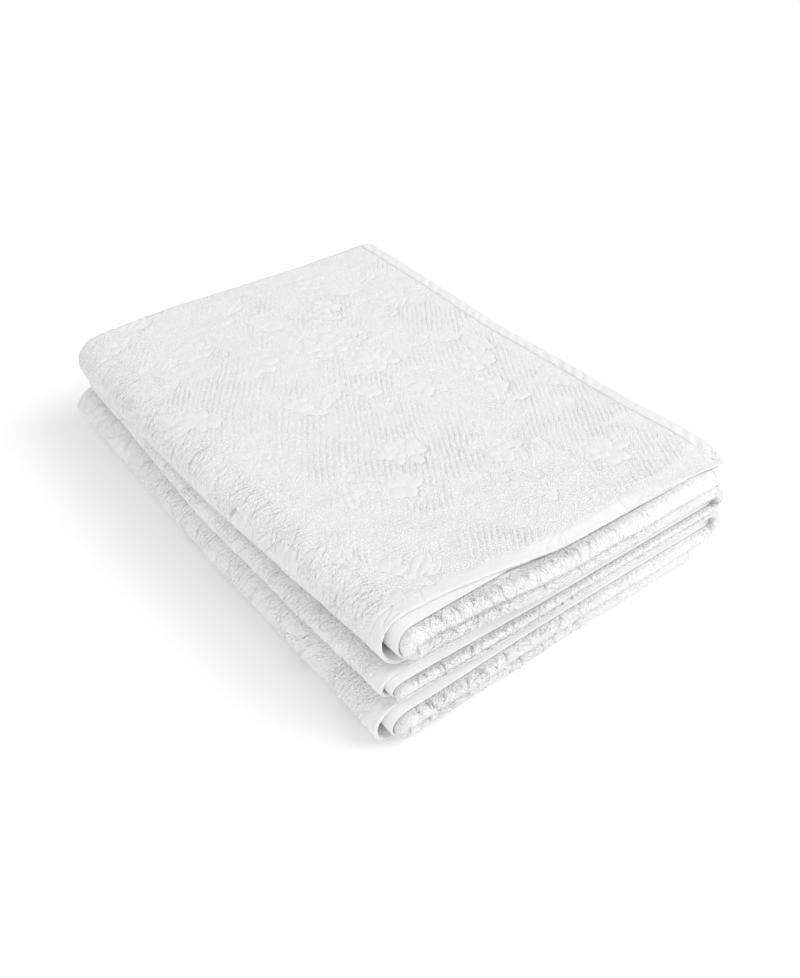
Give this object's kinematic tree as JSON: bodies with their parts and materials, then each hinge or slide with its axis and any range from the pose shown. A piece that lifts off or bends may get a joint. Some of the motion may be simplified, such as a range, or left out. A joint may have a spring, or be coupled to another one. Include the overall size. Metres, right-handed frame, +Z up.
{
  "type": "folded quilt",
  "caption": "White matelasse cotton quilt, folded lengthwise into a strip and then back and forth into a flat-lying stack with soft rolled folds.",
  "frame": {"origin": "on the surface it rests on, under the middle of the stack's outline", "axes": "+Z up, +X across the side lips towards the side with the hem's end, +Y from the rolled front edges towards the back"},
  "size_m": [0.4046, 0.5972, 0.1103],
  "materials": {
    "quilt_cloth": "matte white quilted cotton weave"
  },
  "bodies": {
    "root": {"quilt": "quilt_cloth"}
  },
  "joints": []
}
